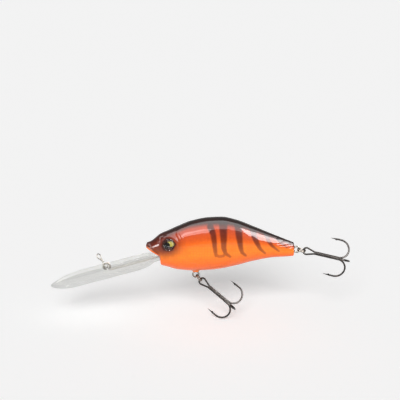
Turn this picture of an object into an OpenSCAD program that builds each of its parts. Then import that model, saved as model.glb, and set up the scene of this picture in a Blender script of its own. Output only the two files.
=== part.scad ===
// Deep-diving crankbait: two-part hollow body, clear diving lip, through-moulded wires,
// split rings and treble hooks. The nose points along -X, the tail along +X, up is +Z.
// The origin is the centre of the line-tie eye on the lip; the body has its own frame,
// with its middle at body_at.

/* [Body] */
// Length of the body from nose to tail face
body_l = 69.8; // [62:0.1:78]
// Width of the body at its widest section
body_w = 17.8; // [16:0.1:19]
// Thickness of the moulded shell wall
wall = 1.3; // [1:0.1:1.6]
// Side clearance round every wire, pin and weight seated in the shells
seat_gap = 0.06; // [0.04:0.01:0.1]

/* [Eyes] */
// Diameter of the printed eye disc
eye_d = 5.4; // [4.6:0.1:6]
// Thickness of the eye disc
eye_disc_t = 0.6; // [0.4:0.1:0.8]
// Height of the clear dome over the disc
eye_dome_h = 1; // [0.6:0.1:1.2]

/* [Diving lip] */
// Length of lip ahead of the point where it leaves the body
lip_l = 53.2; // [46:0.1:56]
// Full width of the lip blade
lip_w = 20.2; // [17:0.1:21]
// Thickness of the lip
lip_t = 2; // [1.8:0.1:2.2]
// Nose-down pitch of the lip in degrees
lip_pitch = 15.7; // [13:0.1:18]
// Length of the rounded tip
lip_tip_l = 15; // [12:0.5:20]
// Length of the tongue held between the body halves
tongue_l = 6; // [5:0.1:6.4]

/* [Wire parts] */
// Wire diameter of the line tie, buried in the lip
tie_wire_d = 0.8; // [0.7:0.05:0.9]
// Wire diameter of the two hook hangers
hanger_wire_d = 0.86; // [0.8:0.02:0.9]
// Mean radius of a hanger eye
hanger_eye_r = 1.42; // [1.4:0.02:1.5]
// Wire diameter of the line snap
snap_wire_d = 0.5; // [0.4:0.05:0.55]
// Mean radius of a split ring
ring_r = 1.85; // [1.8:0.05:2]
// Wire diameter of a split ring
ring_wire_d = 0.5; // [0.44:0.02:0.5]

/* [Treble hooks] */
// Wire diameter of a treble hook
hook_wire_d = 0.86; // [0.76:0.02:0.9]
// Distance from the hook's eye centre to the start of its bends
shank_l = 15.5; // [14:0.1:16]
// Distance from the shank's axis to each point
hook_reach = 10.1; // [9:0.1:10.4]
// Depth of each bend past the start of the bend
bend_depth = 4.3; // [3.8:0.1:4.8]
// Straight length from the end of the bend back to the point
spear_l = 5.2; // [4.6:0.1:5.6]
// Mean radius of the hook's eye
hook_eye_r = 1.55; // [1.5:0.01:1.6]

/* [Weights] */
// Diameter of the two balls that roll in the transfer chamber
transfer_ball_d = 6; // [5:0.1:6.2]
// Distance that the two balls can roll
transfer_travel = 14; // [8:0.5:14]
// Diameter of the rattle ball in the tail chamber
rattle_ball_d = 3; // [2.4:0.1:3.2]
// Distance that the rattle ball can roll
rattle_travel = 4; // [2:0.5:4]
// Diameter of the fixed keel weight
keel_weight_d = 5.6; // [4.6:0.1:5.8]
// Length of the fixed keel weight, from side to side
keel_weight_l = 6; // [4:0.1:6.4]

/* [Hidden] */
$fn = 48;

// Middle of the body, seen from the line-tie eye at the origin
body_at = [53.6, 0, 10.6];
LEFT = -1;
RIGHT = 1;

// Body stations, in millimetres on a body of the length and width below. The belly steps
// down behind the jaw, where the lip sits.
STATIONS = [
    // x, back z, belly z, half width
    [-34.9, 0.4, -0.3, 0.6],
    [-34.2, 1.2, -1.5, 1.9],
    [-32.4, 2.0, -3.1, 3.2],
    [-29.8, 4.1, -4.7, 4.5],
    [-28.4, 5.3, -5.9, 5.1],
    [-27.9, 5.6, -9.5, 5.3],
    [-24.7, 7.0, -10.4, 6.4],
    [-19.9, 9.2, -11.7, 7.6],
    [-13.7, 11.7, -12.2, 8.5],
    [-5.0, 13.4, -11.9, 8.9],
    [0.7, 13.6, -11.2, 8.75],
    [8.0, 12.1, -9.6, 7.9],
    [15.2, 9.3, -7.7, 6.5],
    [24.8, 5.3, -5.9, 4.4],
    [34.9, 1.2, -5.3, 2.0]
];
STATION_L = 69.8;    // length and width that the stations are drawn for
STATION_W = 17.8;
SUBDIV = 2;          // rings between two stations
SIDES = 24;          // facets round a section
FULLNESS = 0.9;      // below 1 makes a section fuller than an ellipse
WIDEST_DROP = 0.5;   // the widest line runs this far below mid height

// --- Small vector and path helpers -------------------------------------------------

function unit(v) = v / norm(v);
function reversed(list) = [for (i = [len(list) - 1:-1:0]) list[i]];
function across(v) = unit(cross(v, abs(unit(v).z) < 0.9 ? [0, 0, 1] : [0, 1, 0]));

// Points round part of a circle in the plane of two unit vectors
function arc(centre, ex, ey, r, a0, a1, n) =
    [for (i = [0:n]) let (a = a0 + (a1 - a0) * i / n)
        centre + r * (cos(a) * ex + sin(a) * ey)];

// Direction of a path at each of its points
function tangents(path) = let (last = len(path) - 1)
    [for (i = [0:last]) unit(path[min(i + 1, last)] - path[max(i - 1, 0)])];

// A side direction at each point, carried along the path without twist
function normals(t) =
    [for (i = 0, n = across(t[0]); i < len(t);
        i = i + 1, n = i < len(t) ? unit(n - t[i] * (n * t[i])) : n) n];

// Closed solid through a list of rings that all have the same number of points
module loft(rings) {
    m = len(rings[0]);
    last = len(rings) - 1;
    polyhedron(
        points = [for (ring = rings) each ring],
        faces = concat(
            [[for (j = [m - 1:-1:0]) j]],
            [for (i = [0:last - 1], j = [0:m - 1]) let (k = (j + 1) % m)
                each [[i * m + j, i * m + k, (i + 1) * m + k],
                      [i * m + j, (i + 1) * m + k, (i + 1) * m + j]]],
            [[for (j = [0:m - 1]) last * m + j]]),
        convexity = 8);
}

// Round wire swept along a path. radii gives one radius per point; barb is a list of
// [point number, direction, height] that raises the ring's side that faces direction.
module wire(path, radii, sides = 8, barb = [-1, [0, 0, 0], 0]) {
    t = tangents(path);
    n = normals(t);
    loft([for (i = [0:len(path) - 1]) let (b = cross(t[i], n[i]))
        [for (j = [0:sides - 1])
            let (a = -360 * j / sides, d = cos(a) * n[i] + sin(a) * b,
                 lift = i == barb[0] ? barb[2] * pow(max(0, d * barb[1]), 3) : 0)
            path[i] + (radii[i] + lift) * d]]);
}

function even(path, d) = [for (p = path) d / 2];

// --- Body form ---------------------------------------------------------------------

// Slope at station i of one column, limited so that the curve never overshoots
function station_step(i, c) = (STATIONS[i + 1][c] - STATIONS[i][c])
    / (STATIONS[i + 1][0] - STATIONS[i][0]);
function station_slope(i, c) =
    i == 0 ? station_step(0, c) :
    i == len(STATIONS) - 1 ? station_step(i - 1, c) :
    let (p = station_step(i - 1, c), q = station_step(i, c)) p * q <= 0 ? 0 : 2 * p * q / (p + q);

// Value of column c between stations i and i + 1, where u runs from 0 to 1
function station_value(i, u, c) = c == 0 ? STATIONS[i][0] * (1 - u) + STATIONS[i + 1][0] * u :
    let (h = STATIONS[i + 1][0] - STATIONS[i][0])
    STATIONS[i][c] * (1 + 2 * u) * pow(1 - u, 2) + STATIONS[i + 1][c] * u * u * (3 - 2 * u)
    + h * station_slope(i, c) * u * pow(1 - u, 2) - h * station_slope(i + 1, c) * u * u * (1 - u);

// One section as [x, back, belly, half width], scaled to the driving sizes
function section(i, u) = [
    station_value(i, u, 0) * body_l / STATION_L,
    station_value(i, u, 1), station_value(i, u, 2),
    station_value(i, u, 3) * body_w / STATION_W];

// Ring of points round a section, shrunk by inset. No point lies on the joint plane.
function section_ring(s, inset) =
    let (back = s[1] - inset, belly = s[2] + inset, w = s[3] - inset,
         mid = (back + belly) / 2 - WIDEST_DROP)
    [for (j = [0:SIDES - 1]) let (a = 360 * (j + 0.5) / SIDES,
            h = (cos(a) > 0 ? back - mid : mid - belly) / cos(180 / SIDES))
        [s[0], w * sign(sin(a)) * pow(abs(sin(a)), FULLNESS), mid + h * cos(a)]];

function body_sections() = concat(
    [for (i = [0:len(STATIONS) - 2], k = [0:SUBDIV - 1]) section(i, k / SUBDIV)],
    [section(len(STATIONS) - 2, 1)]);

// The body's form between two distances, shrunk by inset
module body_form(inset = 0, from = -40, to = 40)
    loft([for (s = body_sections()) if (s[0] > from && s[0] < to) section_ring(s, inset)]);

// One side of the joint plane
module one_side(side) translate([-60, side == LEFT ? -30 : 0, -30]) cube([120, 30, 60]);

// The hollow runs between these distances, clear of the nose and of the tail block
HOLLOW_FROM = -27;
HOLLOW_TO = 27;

// Puts a piece that is drawn in the body's frame into the part's frame
module in_body() translate(body_at) children();

// --- Places that several pieces share ----------------------------------------------

lip_root = [-29.2, 0, -5.9];
function lip_point(ahead, above) = lip_root
    + ahead * [-cos(lip_pitch), 0, -sin(lip_pitch)] + above * [-sin(lip_pitch), 0, cos(lip_pitch)];
module on_lip() translate(lip_root) rotate([0, -lip_pitch, 0]) children();

// Eye socket: centre on the flank, and the way that it faces
eye_at = [-24, 5.75, 1.9];
EYE_YAW = 14;
EYE_TILT = 17;
module at_eye(side) translate([eye_at.x, side * eye_at.y, eye_at.z])
    rotate([side * (-90 + EYE_TILT), 0, side * EYE_YAW]) children();
EYE_DEPTH = 1;

// Hook hangers: centre of each eye and the direction in which its wire runs inwards
belly_eye_at = [-11.4, 0, -14.5];
tail_eye_at = [36.2, 0, -2.1];
LEG_PITCH = hanger_wire_d + 2 * seat_gap + 0.05;    // between the two legs of a hanger
ANCHOR_R = 1.3;      // mean radius of the loop that holds a hanger in the body

// Chain from each hanger: the ring's direction, then the treble's own axes
RING_IN_HANGER = 0.5;
RING_IN_HOOK_EYE = 0.6;
belly_ring_dip = 48.8;   // degrees below straight back
tail_ring_dip = 11.2;
belly_hook_dip = 39.6;
tail_hook_dip = 13.1;
HOOK_LEAN = 15;          // both trebles lean this far to the side

function dipped(angle) = [cos(angle), 0, -sin(angle)];
function ring_centre(eye, dip) = eye + (RING_IN_HANGER + ring_r) * dipped(dip);
function hook_eye(eye, dip) = eye + (RING_IN_HANGER + 2 * ring_r + RING_IN_HOOK_EYE) * dipped(dip);
// Shank direction, direction of the single hook, and the direction across both
function hook_s(dip) = cos(dip) * [1, 0, 0] + sin(dip) * [0, -sin(HOOK_LEAN), -cos(HOOK_LEAN)];
function hook_t() = [0, -cos(HOOK_LEAN), sin(HOOK_LEAN)];
function hook_u(dip) = cross(hook_s(dip), hook_t());

// Transfer and rattle chambers, and the keel weight
transfer_z = 1;
transfer_x0 = -9.5;
transfer_l = 2 * transfer_ball_d + transfer_travel;
BALL_GAP = 0.15;
rattle_at = [22.5, 0, -0.4];
keel_at = [-16.4, 0, -7.2];

// What is moulded inside the shells
RIB = 1.2;               // thickness of the ribs and seat walls
SEAT_REACH = 14;         // the keel weight's seat reaches the skin on both sides
LIP_BLOCK = [13, 12, 9];
PILLAR = [5.6, 6, 8.6];
WEB = [RIB, 20, 32];
WEB_INSET = 3;

// --- Wire routes -------------------------------------------------------------------

// Hanger: anchor loop, two legs side by side, and the eye. out points to the eye's far side.
function hanger_path(eye, out, leg_l) =
    let (side = cross([0, 1, 0], out), e = asin(LEG_PITCH / 2 / hanger_eye_r),
         g = asin(LEG_PITCH / 2 / ANCHOR_R),
         anchor = eye - out * (hanger_eye_r * cos(e) + leg_l + ANCHOR_R * cos(g)))
    concat(
        arc(anchor, -out, side, ANCHOR_R, 12, 180 - g, 8),
        arc(eye, -out, side, hanger_eye_r, e, 360 - e, 18),
        arc(anchor, -out, side, ANCHOR_R, 180 + g, 348, 8));
belly_hanger_route = hanger_path(belly_eye_at, [0, 0, -1], 2.2);
tail_hanger_route = hanger_path(tail_eye_at, [1, 0, 0], 2.4);

// Line tie: anchor loop in the body, straight run inside the lip, open eye above it
TIE_EYE_R = 1.6;
tie_exit = 24;       // distance ahead of the lip's root where the wire turns up
tie_anchor_r = 1.2;
tie_eye_at = -body_at;
tie_route = let (
        f = lip_point(1, 0) - lip_root, n = lip_point(0, 1) - lip_root,
        start = lip_point(-tongue_l - 0.6, 0), turn = lip_point(tie_exit - 1.2, 0),
        rise = unit(tie_eye_at + TIE_EYE_R * unit([0.3, 0, -1]) - lip_point(tie_exit, 0)))
    concat(
        arc(start - tie_anchor_r * n, n, -f, tie_anchor_r, 250, 0, 12),
        [lip_point(0, 0), lip_point(12, 0), turn, lip_point(tie_exit - 0.5, 0.15)],
        arc(tie_eye_at, [cos(-52), 0, sin(-52)], [-sin(-52), 0, cos(-52)], TIE_EYE_R, 0, 318, 18));

// Snap: hung through the line-tie eye, leaning forward and turned about its own length
SNAP_LEAN = 36;
SNAP_TWIST = 25;
SNAP_SEAT = 0.55;    // its lower bend rests this far behind the eye's centre

// --- Sub-parts ---------------------------------------------------------------------

// The seat that a wire leaves in a moulding: its own route, a little wider
module wire_seat(route, d, sides = 6) wire(route, even(route, d + 2 * seat_gap), sides);

module body_inside() {
    // Block that holds the lip's tongue and the line-tie anchor
    translate([-30, -LIP_BLOCK.y / 2, -LIP_BLOCK.z]) cube(LIP_BLOCK);
    // Seat of the keel weight
    translate(keel_at) rotate([90, 0, 0])
        cylinder(d = keel_weight_d + 2 * RIB, h = SEAT_REACH, center = true);
    // Pillars round the belly hanger
    translate([belly_eye_at.x - PILLAR.x / 2, -PILLAR.y / 2, -14]) cube(PILLAR);
    // Tube of the transfer chamber and the webs that carry it
    translate([transfer_x0 - RIB, 0, transfer_z]) rotate([0, 90, 0])
        cylinder(d = transfer_ball_d + 2.6, h = transfer_l + 2 * RIB + 2 * BALL_GAP);
    for (x = [transfer_x0 + WEB_INSET, transfer_x0 + transfer_l / 2, transfer_x0 + transfer_l - WEB_INSET])
        translate([x, -WEB.y / 2, -WEB.z / 2]) cube(WEB);
    // Tube of the rattle chamber
    translate([rattle_at.x - rattle_ball_d / 2 - 1, 0, rattle_at.z]) rotate([0, 90, 0])
        cylinder(d = rattle_ball_d + 2, h = rattle_ball_d + rattle_travel + 2 * RIB);
}

LOCATING_PINS = [[-20, 4], [-2, 9], [12, -5]];
PIN_D = 1.6;
PIN_WALL = 0.8;
PIN_L = 2.4;
TIE_IN_BODY = 14;        // last point of the line-tie route that the shells hold

module shell_cuts(side) {
    // Slot for the tongue, with the same outline and a little room all round
    on_lip() translate([0, 0, -lip_t / 2 - seat_gap]) linear_extrude(lip_t + 2 * seat_gap)
        offset(delta = seat_gap) intersection() { lip_outline(); tongue_window(); }
    // Seats of the three wires
    wire_seat([for (i = [0:TIE_IN_BODY]) tie_route[i]], tie_wire_d);
    wire_seat(belly_hanger_route, hanger_wire_d);
    wire_seat(tail_hanger_route, hanger_wire_d);
    // Eye socket
    at_eye(side) translate([0, 0, -EYE_DEPTH]) cylinder(d = eye_d + 2 * seat_gap, h = 4);
    // Chambers and the keel weight's bore
    translate([transfer_x0 - BALL_GAP, 0, transfer_z]) rotate([0, 90, 0]) rotate([0, 0, 180 / $fn])
        cylinder(d = transfer_ball_d + 2 * BALL_GAP, h = transfer_l + 2 * BALL_GAP);
    translate([rattle_at.x - rattle_ball_d / 2 - BALL_GAP, 0, rattle_at.z]) rotate([0, 90, 0])
        rotate([0, 0, 180 / $fn])
        cylinder(d = rattle_ball_d + 2 * BALL_GAP, h = rattle_ball_d + rattle_travel + 2 * BALL_GAP);
    translate(keel_at) rotate([90, 0, 0])
        cylinder(d = keel_weight_d + 2 * seat_gap, h = keel_weight_l + 2 * seat_gap, center = true);
}

// One moulded half: skin, inner ribs and seats, and the pins or sockets on the joint face
module pins(d, h) for (p = LOCATING_PINS) translate([p[0], 0, p[1]]) rotate([90, 0, 0])
    cylinder(d = d, h = h, center = true);
module body_shell(side) union() {
    difference() {
        intersection() {
            body_form();
            one_side(side);
        }
        // The hollow, less what is moulded inside it
        difference() {
            body_form(wall, HOLLOW_FROM, HOLLOW_TO);
            body_inside();
            pins(PIN_D + 2 * PIN_WALL, 40);
        }
        shell_cuts(side);
        if (side == RIGHT) pins(PIN_D + 2 * seat_gap, PIN_L + 0.6);
    }
    if (side == LEFT) pins(PIN_D, PIN_L);
}

module left_body_shell() color("darkorange") in_body() body_shell(LEFT);
module right_body_shell() color("orangered") in_body() body_shell(RIGHT);

// Plan of the lip: ahead is -x. The blade's tip is a soft point; its rear corners are round.
ROOT_HALF = 4;
SHOULDER_L = 8;
SHOULDER_START = 10;
TONGUE_HALF = 3.4;
TONGUE_HEAD = 4.4;
function lip_half_plan() = concat(
    [for (i = [0:12]) let (d = lip_tip_l * (1 - cos(i * 7.5)))
        [-lip_l + d, lip_w / 2 * pow(1 - pow(1 - d / lip_tip_l, 2), 0.75)]],
    [for (a = [0:15:90]) [-SHOULDER_START + SHOULDER_L * sin(a),
        ROOT_HALF + (lip_w / 2 - ROOT_HALF) * cos(a)]],
    [[0, ROOT_HALF], [1, TONGUE_HALF], [tongue_l - 3, TONGUE_HALF],
     [tongue_l - 2, TONGUE_HEAD], [tongue_l, TONGUE_HEAD]]);
module lip_outline() polygon(concat(lip_half_plan(),
    [for (p = reversed(lip_half_plan())) if (p[1] > 0.01) [p[0], -p[1]]]));
module tongue_window() translate([-1.5, -10]) square([tongue_l + 3, 20]);

module diving_lip() color("lightsteelblue", 0.6) in_body() difference() {
    on_lip() translate([0, 0, -lip_t / 2]) linear_extrude(lip_t) lip_outline();
    // Room for the line-tie wire along its whole route, with the foot of its eye
    wire_seat(tie_route, tie_wire_d, 8);
}

module line_tie_wire() color("silver") in_body() wire(tie_route, even(tie_route, tie_wire_d));

// One bent wire: lower loop in the eye, wrapped neck, and the upper loop for the line
SNAP_LOWER_R = 1.3;
SNAP_UPPER_R = 1.3;
SNAP_NECK = 4.6;     // height of the wrap round the neck
SNAP_TOP = 6.6;      // height of the upper loop's centre
SNAP_WRAP_R = 0.42;
SNAP_CORE = -0.3;    // the straight wire inside the wrap runs this far to the side
snap_route = concat(
    [[0.62, 0, 3.0], [0.32, 0.1, SNAP_NECK - 0.7], [0.1, 0.4, SNAP_NECK]],
    arc([0, 0, SNAP_NECK + 0.1], [1, 0, 0], [0, 1, 0], SNAP_WRAP_R, 90, 270, 6),
    [[0.32, -0.1, SNAP_NECK + 0.7]],
    arc([0, 0, SNAP_TOP], [0, 0, -1], [1, 0, 0], SNAP_UPPER_R, 40, 320, 12),
    [[SNAP_CORE, 0, SNAP_NECK + 0.5], [SNAP_CORE, 0, SNAP_NECK - 0.5], [-SNAP_LOWER_R, 0, 2]],
    arc([0, 0, SNAP_LOWER_R], [-1, 0, 0], [0, 0, -1], SNAP_LOWER_R, 0, 170, 10));
module line_snap() color("gainsboro") rotate([0, -SNAP_LEAN, 0]) rotate([0, 0, 90 - SNAP_TWIST])
    translate([0, 0, -SNAP_SEAT]) wire(snap_route, even(snap_route, snap_wire_d), 6);

module belly_hook_hanger() color("silver") in_body()
    wire(belly_hanger_route, even(belly_hanger_route, hanger_wire_d));
module tail_hook_hanger() color("silver") in_body()
    wire(tail_hanger_route, even(tail_hanger_route, hanger_wire_d));

// Split ring: two flat turns with a short step between them where the ring opens
RING_FROM = 35;          // angles where the wire starts, steps over and ends
RING_STEP_AT = 332;
RING_STEP = 50;
RING_TURNS = 650;
RING_SKEW = 0.2;         // turns the ring a little in its own plane
RING_LIFT = ring_wire_d + 0.03;
function ring_step(a) = let (u = min(1, max(0, (a - RING_STEP_AT) / RING_STEP)))
    u * u * (3 - 2 * u) - 0.5;
module split_ring(eye, dip) {
    d = dipped(dip);
    side = cross([0, 1, 0], d);
    ex = unit([0, 1, 0] + RING_SKEW * d);
    ey = unit(d - RING_SKEW * [0, 1, 0]);
    path = [for (a = [RING_FROM:13:RING_FROM + RING_TURNS])
        ring_centre(eye, dip) + ring_r * (cos(a) * ex + sin(a) * ey) + side * ring_step(a) * RING_LIFT];
    wire(path, even(path, ring_wire_d), 6);
}
module belly_split_ring() color("dimgray") in_body() split_ring(belly_eye_at, belly_ring_dip);
module tail_split_ring() color("dimgray") in_body() split_ring(tail_eye_at, tail_ring_dip);

// Hooks. Each is a route in the plane of the shank and one radial direction.
SHANK_OFFSET = 0.53;     // from the treble's axis to each of its three wires
BEND_STEPS = 10;
BARB_AT = 3;             // from the point
BARB_H = 0.5;
function hook_route(eye, s, radial, start) =
    let (rb = (hook_reach - SHANK_OFFSET) / 2, mid = SHANK_OFFSET + rb,
         at = function (along, out) eye + along * s + out * radial)
    concat(
        [at(start, SHANK_OFFSET), at(shank_l - 2.5, SHANK_OFFSET)],
        [for (i = [0:BEND_STEPS]) let (a = 180 * i / BEND_STEPS)
            at(shank_l + bend_depth * sin(a), mid - rb * cos(a))],
        [at(shank_l - spear_l + BARB_AT + 0.1, hook_reach), at(shank_l - spear_l + BARB_AT, hook_reach),
         at(shank_l - spear_l + 1.2, hook_reach - 0.05), at(shank_l - spear_l, hook_reach - 0.1)]);
// Radii along a hook route: full wire, then a barbed spear that tapers to its point
TAPER = [0.1, 0.55, 0.85, 1];
function hook_radii(n) = [for (i = [0:n - 1]) hook_wire_d / 2 * TAPER[min(3, n - 1 - i)]];

NECK_AT = 3.8;           // where the eye's two legs close up on the shank
EYE_STEPS = 16;
function eye_loop(eye, s, u, t) =
    let (c = eye - SHANK_OFFSET / 2 * t, leg = SHANK_OFFSET * sqrt(3) / 2,
         a = atan(leg / NECK_AT) + acos(hook_eye_r / norm([NECK_AT, leg])))
    arc(c, s, u, hook_eye_r, a, 360 - a, EYE_STEPS);

module treble_double(eye, dip) {
    s = hook_s(dip);
    t = hook_t();
    u = hook_u(dip);
    first = hook_route(eye, s, -0.5 * t + sqrt(3) / 2 * u, NECK_AT);
    second = hook_route(eye, s, -0.5 * t - sqrt(3) / 2 * u, NECK_AT);
    route = concat(reversed(first), eye_loop(eye, s, u, t), second);
    r = hook_radii(len(first));
    wire(route, concat(reversed(r), [for (i = [0:EYE_STEPS]) hook_wire_d / 2], r));
}
module treble_single(eye, dip) {
    route = hook_route(eye, hook_s(dip), hook_t(), NECK_AT + 0.4);
    r = hook_radii(len(route));
    wire(route, concat([hook_wire_d * 0.4], [for (i = [1:len(r) - 1]) r[i]]),
        8, [len(route) - 3, -hook_t(), BARB_H]);
}
module belly_treble_double() color("#3a3836") in_body()
    treble_double(hook_eye(belly_eye_at, belly_ring_dip), belly_hook_dip);
module belly_treble_single() color("#4a4846") in_body()
    treble_single(hook_eye(belly_eye_at, belly_ring_dip), belly_hook_dip);
module tail_treble_double() color("#3a3836") in_body()
    treble_double(hook_eye(tail_eye_at, tail_ring_dip), tail_hook_dip);
module tail_treble_single() color("#4a4846") in_body()
    treble_single(hook_eye(tail_eye_at, tail_ring_dip), tail_hook_dip);

// Eyes: a printed disc at the bottom of the socket and a clear dome on it
GLUE = 0.02;
module eye_disc(side) at_eye(side) translate([0, 0, GLUE - EYE_DEPTH]) cylinder(d = eye_d, h = eye_disc_t);
module eye_dome(side) {
    r = (pow(eye_d / 2, 2) + pow(eye_dome_h, 2)) / (2 * eye_dome_h);
    at_eye(side) translate([0, 0, 2 * GLUE - EYE_DEPTH + eye_disc_t]) rotate_extrude($fn = 64)
        intersection() {
            translate([0, eye_dome_h - r]) circle(r);
            square([eye_d / 2, eye_dome_h]);
        }
}
module left_eye_disc() color("gold") in_body() eye_disc(LEFT);
module left_eye_dome() color("white", 0.4) in_body() eye_dome(LEFT);
module right_eye_disc() color("gold") in_body() eye_disc(RIGHT);
module right_eye_dome() color("white", 0.4) in_body() eye_dome(RIGHT);

module keel_weight() color("slategray") in_body() translate(keel_at) rotate([90, 0, 0])
    cylinder(d = keel_weight_d, h = keel_weight_l, center = true);
module transfer_ball(x) in_body() translate([x, 0, transfer_z]) sphere(d = transfer_ball_d);
module transfer_ball_front() color("lightgray") transfer_ball(transfer_x0 + transfer_ball_d / 2);
module transfer_ball_rear() color("lightgray") transfer_ball(transfer_x0 + transfer_ball_d * 1.5 + GLUE);
module rattle_ball() color("gold") in_body() translate(rattle_at) sphere(d = rattle_ball_d);

left_body_shell();
right_body_shell();
diving_lip();
line_tie_wire();
line_snap();
belly_hook_hanger();
tail_hook_hanger();
belly_split_ring();
tail_split_ring();
belly_treble_double();
belly_treble_single();
tail_treble_double();
tail_treble_single();
left_eye_disc();
left_eye_dome();
right_eye_disc();
right_eye_dome();
keel_weight();
transfer_ball_front();
transfer_ball_rear();
rattle_ball();
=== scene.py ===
# %% [markdown]
# # A deep-diving crankbait
# The lure is a hollow plastic fish in two halves with a long clear lip at the nose. Wires moulded
# into it carry a line snap and two treble hooks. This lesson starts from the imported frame, so that
# every piece goes where the design says, and gives each one the shape and finish of the real thing.

# %% Load the frame
import math

import bmesh
import bpy
from mathutils import Matrix, Vector


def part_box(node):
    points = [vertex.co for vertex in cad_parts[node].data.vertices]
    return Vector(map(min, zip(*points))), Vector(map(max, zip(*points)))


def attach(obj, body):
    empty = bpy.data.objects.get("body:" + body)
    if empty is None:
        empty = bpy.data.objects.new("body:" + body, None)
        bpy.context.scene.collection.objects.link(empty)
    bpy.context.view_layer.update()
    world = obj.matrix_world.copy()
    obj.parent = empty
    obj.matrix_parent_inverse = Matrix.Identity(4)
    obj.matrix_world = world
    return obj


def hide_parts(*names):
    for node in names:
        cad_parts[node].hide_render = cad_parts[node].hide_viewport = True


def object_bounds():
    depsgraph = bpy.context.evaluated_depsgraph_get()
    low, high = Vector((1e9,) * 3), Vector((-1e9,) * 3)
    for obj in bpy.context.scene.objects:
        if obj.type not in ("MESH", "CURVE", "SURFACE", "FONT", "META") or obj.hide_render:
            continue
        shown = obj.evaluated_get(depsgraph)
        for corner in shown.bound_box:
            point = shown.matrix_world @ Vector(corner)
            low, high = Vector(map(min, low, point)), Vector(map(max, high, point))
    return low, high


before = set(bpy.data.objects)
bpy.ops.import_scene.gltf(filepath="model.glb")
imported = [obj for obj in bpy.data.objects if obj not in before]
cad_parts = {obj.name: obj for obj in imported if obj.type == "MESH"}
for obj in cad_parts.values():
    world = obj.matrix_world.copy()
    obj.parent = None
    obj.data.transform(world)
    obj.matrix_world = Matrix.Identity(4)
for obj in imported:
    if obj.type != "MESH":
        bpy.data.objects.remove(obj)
MM = 0.001
cad_low, cad_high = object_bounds()
print("frame:", len(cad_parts), "nodes,", [round(v / MM, 1) for v in cad_high - cad_low], "mm")

# %% [markdown]
# ## Places in the frame
# The origin of the frame is the centre of the line-tie eye. The body is easier to think about from
# its own middle, so a second set of axes starts there. Its place is worked out from the body's box.

# %% The body's own axes
body_low, body_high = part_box("left_body_shell")
BODY_LENGTH = (body_high.x - body_low.x) / MM
BACK_HEIGHT = 13.6                       # the back stands this far above the body's middle line
BODY_AT = Vector(((body_low.x + body_high.x) / 2, 0, body_high.z - BACK_HEIGHT * MM)) / MM


def in_frame(x, y, z):
    """A point in the body's axes, in millimetres, as a point in the frame, in metres."""
    return (Vector((x, y, z)) + BODY_AT) * MM


print("body", round(BODY_LENGTH, 1), "mm long, its middle at", [round(v, 1) for v in BODY_AT])

# %% [markdown]
# ## Small tools
# One function turns a sRGB hex colour to linear light, one adds a shader node with its settings and
# links, and one makes an object from points and faces.

# %% Colour, node and mesh helpers


def linear(hex_colour):
    """A sRGB hex colour as linear red, green, blue and alpha."""
    parts = [int(hex_colour[i:i + 2], 16) / 255 for i in (1, 3, 5)]
    return [p / 12.92 if p <= 0.04045 else ((p + 0.055) / 1.055) ** 2.4 for p in parts] + [1.0]


def add(tree, kind, links=None, **settings):
    """A node of this kind. A setting names a property, or _N for input N; links join its sockets."""
    made = tree.nodes.new(kind)
    for key, value in settings.items():
        if key[:1] == "_":
            made.inputs[int(key[1:])].default_value = value
        else:
            setattr(made, key, value)
    for socket, output in (links or {}).items():
        tree.links.new(output, made.inputs[socket])
    return made


def finish_of(name, **shader):
    """A new material, its node tree and its main shader with these sockets set."""
    material = bpy.data.materials.new(name)
    material.use_nodes = True
    tree = material.node_tree
    main = tree.nodes["Principled BSDF"]
    for key, value in shader.items():
        main.inputs[key.replace("_", " ")].default_value = value
    return material, tree, main


def ramp(tree, source, *stops):
    """A colour ramp from (place, hex colour) stops."""
    made = add(tree, "ShaderNodeValToRGB", {"Fac": source})
    while len(made.color_ramp.elements) < len(stops):
        made.color_ramp.elements.new(0.5)
    for element, (place, colour) in zip(made.color_ramp.elements, stops):
        element.position, element.color = place, linear(colour)
    return made.outputs["Color"]


def piece_from(name, points, faces, material, smooth=True):
    """An object at the origin from points in metres. Its faces are made to point outwards."""
    mesh = bpy.data.meshes.new(name)
    mesh.from_pydata([tuple(p) for p in points], [], faces)
    form = bmesh.new()
    form.from_mesh(mesh)
    bmesh.ops.recalc_face_normals(form, faces=form.faces)
    form.to_mesh(mesh)
    form.free()
    mesh.materials.append(material)
    mesh.polygons.foreach_set("use_smooth", [smooth] * len(mesh.polygons))
    made = bpy.data.objects.new(name, mesh)
    bpy.context.scene.collection.objects.link(made)
    return made


# %% [markdown]
# ## Studio
# The lure is seen from its left side and a little from above. A long lens keeps the hooks, lip and
# body in their true proportions. A sun gives the table its soft shadow and the paint its light. The
# shine is made apart from it, by reflection cards: a large one above draws the long band on the
# flank, and a tall one behind the tail draws the streak there. They light nothing else. The table
# glows a little, as a lit acrylic table does, so its shadows stay pale.

# %% Camera
VIEW_TILT = math.radians(15)
FRAME_WIDTH = 188.6 * MM                 # what the camera sees across, at the lure
LENS = 100
scene = bpy.context.scene
scene.view_settings.view_transform = "Standard"
look = Vector((0, math.cos(VIEW_TILT), -math.sin(VIEW_TILT)))
up = Vector((0, math.sin(VIEW_TILT), math.cos(VIEW_TILT)))
target = in_frame(-9.4, 0, 0) + up * 21.2 * MM
camera = bpy.data.objects.new("camera", bpy.data.cameras.new("camera"))
camera.data.lens = LENS
camera.data.clip_start = 10 * MM
distance = FRAME_WIDTH / 2 / (camera.data.sensor_width / 2 / LENS)
camera.location = target - look * distance
camera.rotation_euler = look.to_track_quat("-Z", "Y").to_euler()
scene.collection.objects.link(camera)
scene.camera = camera
print("camera", round(distance / MM), "mm from the lure")

# %% Lights
SOFTBOX_HEIGHT, SOFTBOX_AWAY = 78, 0.5           # degrees above the horizon and metres
KEY_HEIGHT, KEY_TURN, KEY_SPREAD = 30, -6, 26    # degrees


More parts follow.
